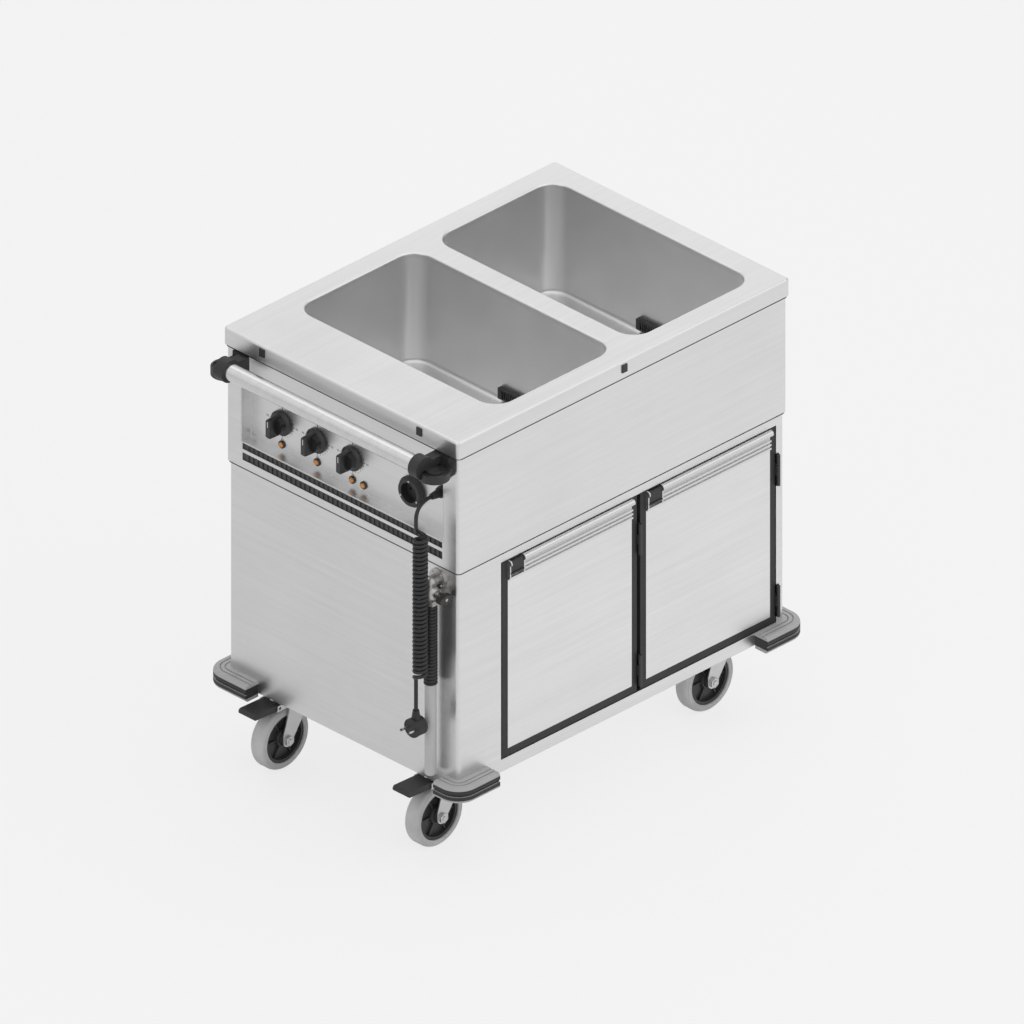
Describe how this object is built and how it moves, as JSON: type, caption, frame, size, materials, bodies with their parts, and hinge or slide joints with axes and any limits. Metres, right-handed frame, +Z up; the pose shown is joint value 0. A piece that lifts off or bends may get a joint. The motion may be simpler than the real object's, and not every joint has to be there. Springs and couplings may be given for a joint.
{
  "type": "bain marie hot cupboard",
  "caption": "Wheeled stainless bain marie with wet wells in its worktop over heated cupboards, a control panel and push bar at one end, a drain tap and a curly mains lead.",
  "frame": {"origin": "on the floor, below the middle of the box round the trolley without its lead", "axes": "+X from the control end to the far end, -Y the side with the doors, +Z up"},
  "size_m": [0.9578, 0.658, 0.9],
  "materials": {
    "steel": "satin brushed stainless steel",
    "steel_inner": "plain stainless sheet, deep drawn or folded",
    "bar_steel": "polished stainless tube",
    "door_trim": "satin anodised extrusion",
    "zinc": "bright zinc plate",
    "black_plastic": "fine grained moulding",
    "dark_metal": "dark satin coating",
    "bumper": "soft grained moulding",
    "seal_rubber": "smooth extruded rubber",
    "lead": "smooth sheath with a soft sheen",
    "tyre": "grey non-marking rubber",
    "hub": "moulded nylon",
    "lens": "clear amber lens",
    "element": "dull sheathed element"
  },
  "bodies": {
    "trolley": {"worktop": "steel", "control_end_well": "steel_inner", "far_end_well": "steel_inner", "upper_casing": "steel", "control_panel": "steel", "vent_louvres": "dark_metal", "lower_casing": "steel", "service_deck": "steel_inner", "face_frame": "steel_inner", "base_tray": "steel_inner", "cupboard_liner_1": "steel_inner", "cupboard_liner_2": "steel_inner", "tray_rails": "steel_inner", "heaters": "element", "drain_manifold": "steel_inner", "drain_strainers": "black_plastic", "drain_tap": "zinc", "drain_downpipe": "black_plastic", "thermostats": "black_plastic", "pilot_lamps": "lens", "parking_socket": "black_plastic", "cable_gland": "black_plastic", "handle_bar": "bar_steel", "handle_brackets": "black_plastic", "fascia_plugs": "black_plastic", "corner_bumpers": "bumper", "castor_plates": "zinc", "hinge_leaves": "dark_metal", "lead_upper": "lead", "lead_coil": "lead", "lead_lower": "lead", "mains_plug": "lead"},
    "knob_1": {"knob_1": "black_plastic"},
    "knob_2": {"knob_2": "black_plastic"},
    "knob_3": {"knob_3": "black_plastic"},
    "tap_lever": {"tap_lever": "black_plastic"},
    "door_1": {"door_1_panel": "steel", "door_1_seal": "seal_rubber", "door_1_grip": "door_trim", "door_1_hinges": "dark_metal"},
    "door_1_latch": {"door_1_latch": "black_plastic"},
    "door_2": {"door_2_panel": "steel", "door_2_seal": "seal_rubber", "door_2_grip": "door_trim", "door_2_hinges": "dark_metal"},
    "door_2_latch": {"door_2_latch": "black_plastic"},
    "castor_1_fork": {"castor_1_fork": "zinc"},
    "castor_1_wheel": {"castor_1_hub": "hub", "castor_1_tyre": "tyre"},
    "brake_pedal_1": {"brake_pedal_1": "black_plastic"},
    "castor_2_fork": {"castor_2_fork": "zinc"},
    "castor_2_wheel": {"castor_2_hub": "hub", "castor_2_tyre": "tyre"},
    "brake_pedal_2": {"brake_pedal_2": "black_plastic"},
    "castor_3_fork": {"castor_3_fork": "zinc"},
    "castor_3_wheel": {"castor_3_hub": "hub", "castor_3_tyre": "tyre"},
    "castor_4_fork": {"castor_4_fork": "zinc"},
    "castor_4_wheel": {"castor_4_hub": "hub", "castor_4_tyre": "tyre"}
  },
  "joints": [
    {"name": "knob_1_turn", "type": "hinge", "parent": "trolley", "child": "knob_1", "pos_m": [-0.39375, 0.18, 0.736], "axis": [1, 0, 0], "range_deg": [0, 270]},
    {"name": "knob_2_turn", "type": "hinge", "parent": "trolley", "child": "knob_2", "pos_m": [-0.39375, 0.089, 0.736], "axis": [1, 0, 0], "range_deg": [0, 270]},
    {"name": "knob_3_turn", "type": "hinge", "parent": "trolley", "child": "knob_3", "pos_m": [-0.39375, -0.002, 0.736], "axis": [1, 0, 0], "range_deg": [0, 270]},
    {"name": "tap_lever_turn", "type": "hinge", "parent": "trolley", "child": "tap_lever", "pos_m": [-0.41925, -0.28, 0.568], "axis": [0, -1, 0], "range_deg": [0, 90]},
    {"name": "door_1_swing", "type": "hinge", "parent": "trolley", "child": "door_1", "pos_m": [0.06675, -0.2995, 0.39], "axis": [0, 0, 1], "range_deg": [0, 105]},
    {"name": "door_1_latch_lift", "type": "hinge", "parent": "door_1", "child": "door_1_latch", "pos_m": [-0.25245, -0.2985, 0.591], "axis": [-1, 0, 0], "range_deg": [0, 25]},
    {"name": "door_2_swing", "type": "hinge", "parent": "trolley", "child": "door_2", "pos_m": [0.42375, -0.2995, 0.39], "axis": [0, 0, 1], "range_deg": [0, 105]},
    {"name": "door_2_latch_lift", "type": "hinge", "parent": "door_2", "child": "door_2_latch", "pos_m": [0.10455, -0.2985, 0.591], "axis": [-1, 0, 0], "range_deg": [0, 25]},
    {"name": "castor_1_swivel", "type": "hinge", "parent": "trolley", "child": "castor_1_fork", "pos_m": [-0.32825, -0.199, 0.1387], "axis": [0, 0, 1], "continuous": true},
    {"name": "castor_1_roll", "type": "hinge", "parent": "castor_1_fork", "child": "castor_1_wheel", "pos_m": [-0.36625, -0.199, 0.0625], "axis": [0, 1, 0], "continuous": true},
    {"name": "brake_pedal_1_press", "type": "hinge", "parent": "castor_1_fork", "child": "brake_pedal_1", "pos_m": [-0.38825, -0.199, 0.1387], "axis": [0, -1, 0], "range_deg": [0, 12]},
    {"name": "castor_2_swivel", "type": "hinge", "parent": "trolley", "child": "castor_2_fork", "pos_m": [-0.32825, 0.199, 0.1387], "axis": [0, 0, 1], "continuous": true},
    {"name": "castor_2_roll", "type": "hinge", "parent": "castor_2_fork", "child": "castor_2_wheel", "pos_m": [-0.36625, 0.199, 0.0625], "axis": [0, 1, 0], "continuous": true},
    {"name": "brake_pedal_2_press", "type": "hinge", "parent": "castor_2_fork", "child": "brake_pedal_2", "pos_m": [-0.38825, 0.199, 0.1387], "axis": [0, -1, 0], "range_deg": [0, 12]},
    {"name": "castor_3_swivel", "type": "hinge", "parent": "trolley", "child": "castor_3_fork", "pos_m": [0.37075, -0.199, 0.1387], "axis": [0, 0, 1], "continuous": true},
    {"name": "castor_3_roll", "type": "hinge", "parent": "castor_3_fork", "child": "castor_3_wheel", "pos_m": [0.33275, -0.199, 0.0625], "axis": [0, 1, 0], "continuous": true},
    {"name": "castor_4_swivel", "type": "hinge", "parent": "trolley", "child": "castor_4_fork", "pos_m": [0.37075, 0.199, 0.1387], "axis": [0, 0, 1], "continuous": true},
    {"name": "castor_4_roll", "type": "hinge", "parent": "castor_4_fork", "child": "castor_4_wheel", "pos_m": [0.33275, 0.199, 0.0625], "axis": [0, 1, 0], "continuous": true}
  ]
}
